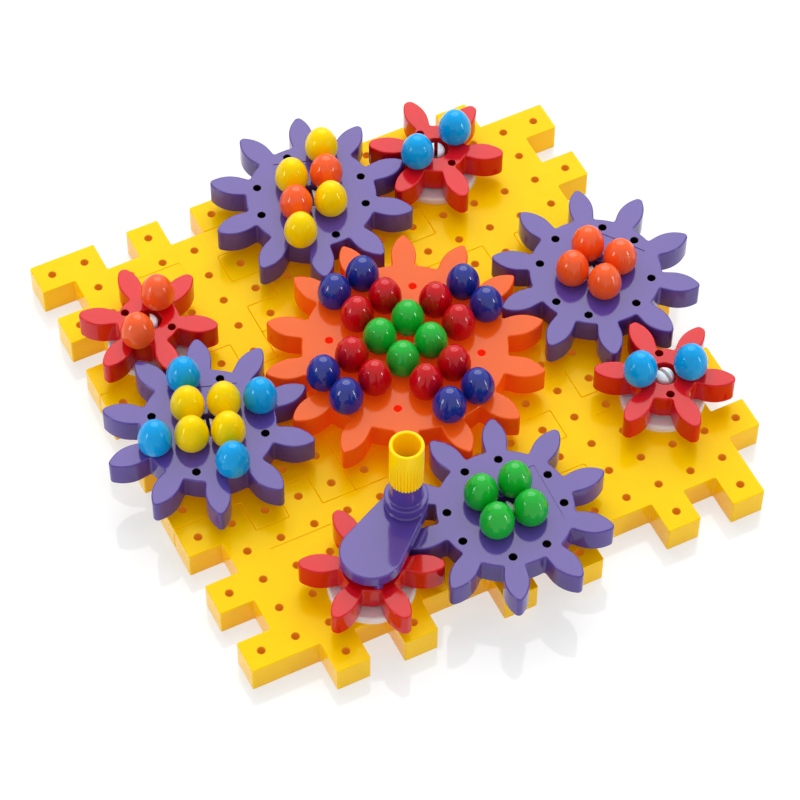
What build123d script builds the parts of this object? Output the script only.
from build123d import *
import os
from math import acos, asin, atan2, cos, degrees, hypot, pi, sin

# A plug-together gear board: nine interlocking plates carry nine meshed gears, which a crank
# turns. Loose pegs with egg-shaped heads decorate the gears. Millimetres and degrees, +Z up.
# The origin is under the middle gear's axis, on the surface that the plates stand on.

# ---------------------------------------------------------------- the grid and its pins
pitch = 16.0              # from one hole to the next, on plates and gears alike
hole_r = 1.75             # every hole that takes a pin
pin_play = 0.06           # radial room of a pin in its hole
pin_length = 8.5          # how far a pin reaches into its hole
pin_lead = 0.5            # bevel round the tip of a pin
socket_wall = 1.6         # wall of the tube moulded round each hole

# ---------------------------------------------------------------- base plates
plates_per_side = 3
square_cells = 4          # cells along the full square in the middle of a plate
plate_thickness = 14.5
plate_skin = 2.4
plate_wall = 2.2
plate_play = 0.4          # seam between two plates
plate_corner_r = 0.9      # upright corners
plate_edge_r = 0.6        # rounding round the top face

# ---------------------------------------------------------------- gear teeth, in modules
addendum = 0.9
dedendum = 1.25
flank_r = 1.9             # radius of the arc that swells each side of a tooth
belly_depth = 0.7         # where the straight root of a tooth meets that arc, below the pitch line
pinion_teeth, pinion_belly = 6, 0.614     # belly is half the greatest width of a tooth
medium_teeth, medium_belly = 10, 0.685
large_teeth, large_belly = 14, 0.716

# ---------------------------------------------------------------- gear bodies
gear_lift = 5.8           # from the plates up to the underside of the gears
gear_thickness = 12.5
gear_skin = 2.2
gear_wall = 1.8
gear_edge_r = 0.7
root_fillet_r = 1.1
hub_wall = 1.4

# ---------------------------------------------------------------- carriers that hold the gears
carrier_r = 19.2
carrier_thickness = 3.8
carrier_edge_r = 1.4
carrier_boss_r = 8.5
face_play = 0.3           # gap between flat faces that turn against each other
spindle_r = 3.7
spindle_play = 0.08       # radial room of a spindle in its bore
snap_lip = 0.5            # how far a snap head stands out past its spindle
dome_height = 3.0
dome_nose_r = 5.8
dome_rise = 1.1           # the top of the dome above the gear's top face
recess_r = 6.0
recess_depth = 5.5
split_width = 1.7         # the slot that lets a snap head spring
split_depth = 11.0

# ---------------------------------------------------------------- pegs
head_gap = 0.8            # between the heads of two neighbouring pegs
head_height = 16.2
head_belly = 5.0          # height of the widest place of the head
head_foot_r = 5.9
head_nose_r = 5.6

# ---------------------------------------------------------------- crank
arm_gap = 3.2             # between the drive gear's top and the arm
arm_thickness = 6.0
arm_big_r = 13.8
arm_reach = 28.8          # from the drive gear's axis to the grip's axis
arm_edge_r = 0.8
shoulder_r = 2.2          # step on each of the arm's pins, which stands on the gear
collar_r = 9.6
collar_height = 3.9
neck_r = 9.1
neck_height = 2.4
collar_edge_r = 0.7
post_r = 7.2
post_height = 11.0
stub_r = 3.9
grip_foot_r = 7.0
grip_top_r = 7.5
grip_height = 25.2
grip_floor = 6.5
grip_well_r = 5.9
grip_rim_r = 0.7
rib_count = 32
rib_r = 0.62
rib_stand = 0.42          # how far a rib stands out at the foot of the grip

# ---------------------------------------------------------------- worked out from the above
module = pitch / 2
pin_r = hole_r - pin_play
bore_r = spindle_r + spindle_play
snap_r = spindle_r + snap_lip
head_r = (pitch - head_gap) / 2
gear_floor = plate_thickness + gear_lift
gear_top = gear_floor + gear_thickness
ledge = gear_top - recess_depth
field_cells = plates_per_side * (square_cells + 1) + 1
arm_floor = gear_top + arm_gap
arm_top = arm_floor + arm_thickness
shoulder = arm_top + neck_height + collar_height + post_height
medium_distance = (large_teeth + medium_teeth) / 2 * module
pinion_distance = (medium_teeth + pinion_teeth) / 2 * module

# Holes of each gear, in grid steps from its axis
INNER = [(x, y) for x in (-0.5, 0.5) for y in (-0.5, 0.5)]
MIDDLE = [(x, y) for x in (-0.5, 0.5) for y in (-1.5, 1.5)]
MIDDLE += [(y, x) for x, y in MIDDLE]
CORNER = [(x, y) for x in (-1.5, 1.5) for y in (-1.5, 1.5)]
OUTER = [(x, y) for x in (-0.5, 0.5) for y in (-2.5, 2.5)]
OUTER += [(y, x) for x, y in OUTER]

KINDS = {
    "pinion": (pinion_teeth, pinion_belly, INNER),
    "medium": (medium_teeth, medium_belly, INNER + MIDDLE),
    "large": (large_teeth, large_belly, INNER + MIDDLE + CORNER + OUTER),
}

# Each gear: its kind, its axis, how far it is turned at rest, and the angle of its spindle's slot
half_tooth = 180 / large_teeth
tooth = 360 / medium_teeth
GEARS = {
    "centre_gear": ("large", 0, 0, half_tooth, 75),
    "front_gear": ("medium", 0, -medium_distance, -2.0, 75),
    "right_gear": ("medium", medium_distance, 0, tooth, 75),
    "back_gear": ("medium", 0, medium_distance, 2 * tooth, 75),
    "left_gear": ("medium", -medium_distance, 0, 2 * tooth, 75),
    "drive_gear": ("pinion", -pinion_distance, -medium_distance, 33.3, 75),
    "right_pinion": ("pinion", medium_distance, -pinion_distance, 28.5, 104),
    "back_left_pinion": ("pinion", -medium_distance, pinion_distance, 88.2, 72),
    "back_right_pinion": ("pinion", pinion_distance, medium_distance, -31.4, 63),
}

# Pegs, by gear and colour
RISING = [(0.5, 0.5), (-0.5, -0.5)]
FALLING = [(0.5, -0.5), (-0.5, 0.5)]
PEGS = {
    "centre_gear": {"green": INNER, "red": MIDDLE, "dark_blue": OUTER},
    "front_gear": {"green": INNER},
    "right_gear": {"orange": INNER},
    "back_gear": {"yellow": RISING + [(1.5, -0.5), (-1.5, 0.5)], "orange": FALLING},
    "left_gear": {"yellow": INNER, "light_blue": [(1.5, 0.5), (-0.5, 1.5), (-1.5, -0.5), (0.5, -1.5)]},
    "right_pinion": {"light_blue": FALLING},
    "back_left_pinion": {"orange": FALLING},
    "back_right_pinion": {"light_blue": RISING},
}


def on_grid(places):
    """Grid steps turned into millimetres."""
    return [(x * pitch, y * pitch) for x, y in places]


def rod(radius, low, high, x=0.0, y=0.0):
    """An upright round bar between two heights."""
    return Pos(x, y, low) * Cylinder(radius, high - low, align=(Align.CENTER, Align.CENTER, Align.MIN))


def rounded_top(body, radius):
    """The body with the outer edge of its top face rounded."""
    rim = body.faces().sort_by(Axis.Z)[-1].outer_wire().edges()
    return fillet(rim, radius)


def pin(top, x=0.0, y=0.0):
    """A pin that hangs below a height, bevelled at its tip."""
    bar = rod(pin_r, top - pin_length, top, x, y)
    tip = bar.edges().group_by(Axis.Z)[0]
    return chamfer(tip, pin_lead)


# ---------------------------------------------------------------- base plates
def plate_cells():
    """Columns and rows of one plate: a square, and the tabs that key it into its neighbours."""
    last = square_cells + 1
    square = [(c, r) for c in range(1, last) for r in range(1, last)]
    left = [(0, r) for r in range(1, last + 1, 2)]
    front = [(c, 0) for c in range(2, last, 2)]
    right = [(last, r) for r in range(2, last, 2)]
    back = [(c, last) for c in range(1, last, 2)]
    return square + left + front + right + back


def base_plate():
    """One plate, its first column and row at the origin: an open-bottomed box with peg sockets."""
    centres = on_grid(plate_cells())
    cells = Sketch() + [Pos(x, y) * Rectangle(pitch, pitch) for x, y in centres]
    outline = offset(cells, -plate_play / 2, kind=Kind.INTERSECTION)
    hollow = offset(outline, -plate_wall, kind=Kind.INTERSECTION)
    hollow -= [Pos(x, y) * Circle(hole_r + socket_wall) for x, y in centres]
    outline = fillet(outline.vertices(), plate_corner_r)
    plate = rounded_top(extrude(outline, plate_thickness), plate_edge_r)
    plate -= extrude(hollow, plate_thickness - plate_skin)
    return plate - [rod(hole_r, 0, plate_thickness, x, y) for x, y in centres]


# ---------------------------------------------------------------- gears
def gear_outline(teeth, belly):
    """The toothed outline: straight flanks, swelling sides, a round nose on each tooth."""
    pitch_r = teeth * module / 2
    root_r = pitch_r - dedendum * module
    tip_r = pitch_r + addendum * module
    join_r = pitch_r - belly_depth * module
    side_r = flank_r * module
    lean = atan2(side_r, join_r) + asin((belly * module - side_r) / hypot(join_r, side_r))
    join = (join_r * cos(lean), join_r * sin(lean))
    side_x = join[0] + side_r * sin(lean)
    side_y = join[1] - side_r * cos(lean)
    reach = tip_r - side_x
    nose_r = (side_r**2 - reach**2 - side_y**2) / (2 * (side_r - reach))
    first = atan2(join[1] - side_y, join[0] - side_x)
    last = atan2(-side_y, tip_r - nose_r - side_x)

    def on_side(angle, mirror):
        return (side_x + side_r * cos(angle), mirror * (side_y + side_r * sin(angle)))

    edges = []
    for step in range(teeth):
        turn = 2 * pi * step / teeth

        def at(point):
            x, y = point
            return (x * cos(turn) - y * sin(turn), x * sin(turn) + y * cos(turn))

        roots, touches = [], []
        for mirror in (-1, 1):
            root = at((root_r * cos(lean), mirror * root_r * sin(lean)))
            start = at((join[0], mirror * join[1]))
            middle = at(on_side((first + last) / 2, mirror))
            touch = at(on_side(last, mirror))
            edges += [Line(root, start), ThreePointArc(start, middle, touch)]
            roots.append(root)
            touches.append(touch)
        edges.append(ThreePointArc(touches[0], at((tip_r, 0)), touches[1]))
        gap = pi / teeth
        valley = at((root_r * cos(gap), root_r * sin(gap)))
        across = 2 * gap - lean
        next_root = at((root_r * cos(across), root_r * sin(across)))
        edges.append(ThreePointArc(roots[1], valley, next_root))
    outline = make_face(Wire(edges))
    corners = [v for v in outline.vertices() if abs(hypot(v.X, v.Y) - root_r) < 0.01]
    return fillet(corners, root_fillet_r)


def gear(kind):
    """A gear on the origin's axis, standing on Z = 0: a shell with a hub and peg sockets inside."""
    teeth, belly, places = KINDS[kind]
    outline = gear_outline(teeth, belly)
    body = rounded_top(extrude(outline, gear_thickness), gear_edge_r)
    hollow = offset(outline, -gear_wall)
    hollow -= Circle(recess_r + hub_wall)
    hollow -= [Pos(x, y) * Circle(hole_r + socket_wall) for x, y in on_grid(places)]
    body -= extrude(hollow, gear_thickness - gear_skin)
    body -= [rod(hole_r, 0, gear_thickness, x, y) for x, y in on_grid(places)]
    body -= rod(bore_r, 0, gear_thickness)
    return body - rod(recess_r, gear_thickness - recess_depth, gear_thickness)


# ---------------------------------------------------------------- oval profiles
def oval(half_width, height, nose_r, base):
    """From a belly at the base to a top on the axis: a side arc that runs into a nose arc."""
    side_r = (half_width**2 + (height - nose_r)**2 - nose_r**2) / (2 * (half_width - nose_r))
    spread = side_r - nose_r
    meet = degrees(atan2((height - nose_r) / spread, (side_r - half_width) / spread))
    side = CenterArc((half_width - side_r, base), side_r, 0, meet)
    return side + CenterArc((0, base + height - nose_r), nose_r, meet, 90 - meet)


# ---------------------------------------------------------------- carriers
def split(top, angle):
    """The slot across a snap head, from above its top down into its spindle."""
    return Rot(0, 0, angle) * Pos(0, 0, top) * Box(4 * snap_r, split_width, 2 * split_depth)


def snap_head(radius, low, high):
    """A snap head: a straight lip from low to high with a flattened dome on it."""
    lip = Line((0, low), (radius, low)) + Line((radius, low), (radius, high))
    dome = oval(radius, dome_height, dome_nose_r, high)
    axis = Line((0, high + dome_height), (0, low))
    return revolve(Plane.XZ * make_face(lip + dome + axis), Axis.Z)


def carrier(angle):
    """The round foot under a gear, with pins for the plate and a snap-headed spindle."""
    top = plate_thickness + carrier_thickness
    body = rounded_top(rod(carrier_r, plate_thickness, top), carrier_edge_r)
    body += rod(carrier_boss_r, top, gear_floor - face_play)
    body += rod(spindle_r, top, ledge + face_play)
    dome_foot = gear_top + dome_rise - dome_height
    body += snap_head(spindle_r + snap_lip, ledge + face_play, dome_foot)
    body -= split(gear_top + dome_rise, angle)
    return body + [pin(plate_thickness, x, y) for x, y in on_grid(INNER)]


# ---------------------------------------------------------------- pegs
def peg():
    """A peg whose flat foot is on Z = 0: an egg-shaped head over a pin."""
    tuck = head_r - head_foot_r
    lower_r = (tuck**2 + head_belly**2) / (2 * tuck)
    foot_angle = degrees(asin(head_belly / lower_r))
    egg = CenterArc((head_r - lower_r, head_belly), lower_r, -foot_angle, foot_angle)
    egg += oval(head_r, head_height - head_belly, head_nose_r, head_belly)
    egg += Line((0, head_height), (0, 0)) + Line((0, 0), (head_foot_r, 0))
    head = revolve(Plane.XZ * make_face(egg), Axis.Z)
    return head + pin(0)


# ---------------------------------------------------------------- crank
def crank_arm():
    """The arm on the origin's axis, its grip end towards +X."""
    slope = acos((arm_big_r - collar_r) / arm_reach)
    top = (cos(slope), sin(slope))
    sides = [(arm_big_r * top[0], arm_big_r * top[1]), (arm_reach + collar_r * top[0], collar_r * top[1])]
    sides += [(x, -y) for x, y in reversed(sides)]
    outline = Circle(arm_big_r) + Pos(arm_reach, 0) * Circle(collar_r) + make_face(Polyline(*sides, close=True))
    arm = Pos(0, 0, arm_floor) * rounded_top(extrude(outline, arm_thickness), arm_edge_r)
    arm += [rod(shoulder_r, gear_top, arm_floor, x, y) + pin(gear_top, x, y) for x, y in on_grid(INNER)]
    collar_floor = arm_top + neck_height
    collar = rounded_top(rod(collar_r, collar_floor, collar_floor + collar_height), collar_edge_r)
    collar += rod(neck_r, arm_top, collar_floor)
    collar += rod(post_r, collar_floor + collar_height, shoulder)
    stub_top = shoulder + face_play + grip_floor + face_play
    collar += rod(stub_r, shoulder, stub_top)
    head_foot = stub_top + snap_lip
    collar += snap_head(stub_r + snap_lip, stub_top, head_foot)
    collar -= split(head_foot + dome_height, 0)
    return arm + Pos(arm_reach, 0) * collar


def crank_grip():
    """The sleeve that turns on the crank's post: ribbed outside, an open well inside."""
    low = shoulder + face_play
    high = low + grip_height
    flare = low + 0.75 * grip_height
    profile = Polyline((0, low), (grip_foot_r, low), (grip_top_r, flare), (grip_top_r, high), (0, high), close=True)
    grip = revolve(Plane.XZ * make_face(profile), Axis.Z)
    rib_line = grip_foot_r + rib_stand - rib_r
    for step in range(rib_count):
        rib = rod(rib_r, low, flare, rib_line)
        grip += Rot(0, 0, 360 * step / rib_count) * rib
    grip = rounded_top(grip, grip_rim_r)
    grip -= rod(stub_r + spindle_play, low, high)
    return grip - rod(grip_well_r, low + grip_floor, high)


# ---------------------------------------------------------------- put together and written out
def assemble():
    """Every piece in its place, by node name."""
    nodes = {}
    plate = base_plate()
    step = square_cells + 1
    first = -(field_cells - 1) / 2 * pitch
    for row, depth in enumerate(("front", "middle", "back")):
        for column, side in enumerate(("left", "centre", "right")):
            place = Pos(first + column * step * pitch, first + row * step * pitch)
            nodes[f"plate_{depth}_{side}"] = place * plate

    blanks = {kind: gear(kind) for kind in KINDS}
    one_peg = peg()
    for name, (kind, x, y, turn, slot) in GEARS.items():
        nodes[name] = Pos(x, y, gear_floor) * Rot(0, 0, turn) * blanks[kind]
        nodes[f"{name}_carrier"] = Pos(x, y) * carrier(slot)
        for colour, places in PEGS.get(name, {}).items():
            pegs = [Pos(x, y, gear_top) * Rot(0, 0, turn) * Pos(px, py) * one_peg for px, py in on_grid(places)]
            nodes[f"{name}_{colour}_pegs"] = Compound(children=pegs)

    _, x, y, turn, _ = GEARS["drive_gear"]
    on_drive = Pos(x, y) * Rot(0, 0, turn)
    nodes["crank_arm"] = on_drive * crank_arm()
    nodes["crank_grip"] = on_drive * Pos(arm_reach, 0) * crank_grip()
    return nodes


os.makedirs("parts", exist_ok=True)
for node, shape in assemble().items():
    export_step(shape, f"parts/{node}.step")
    print(node, len(shape.solids()), "solid(s)", round(shape.volume / 1000, 2), "cm3")
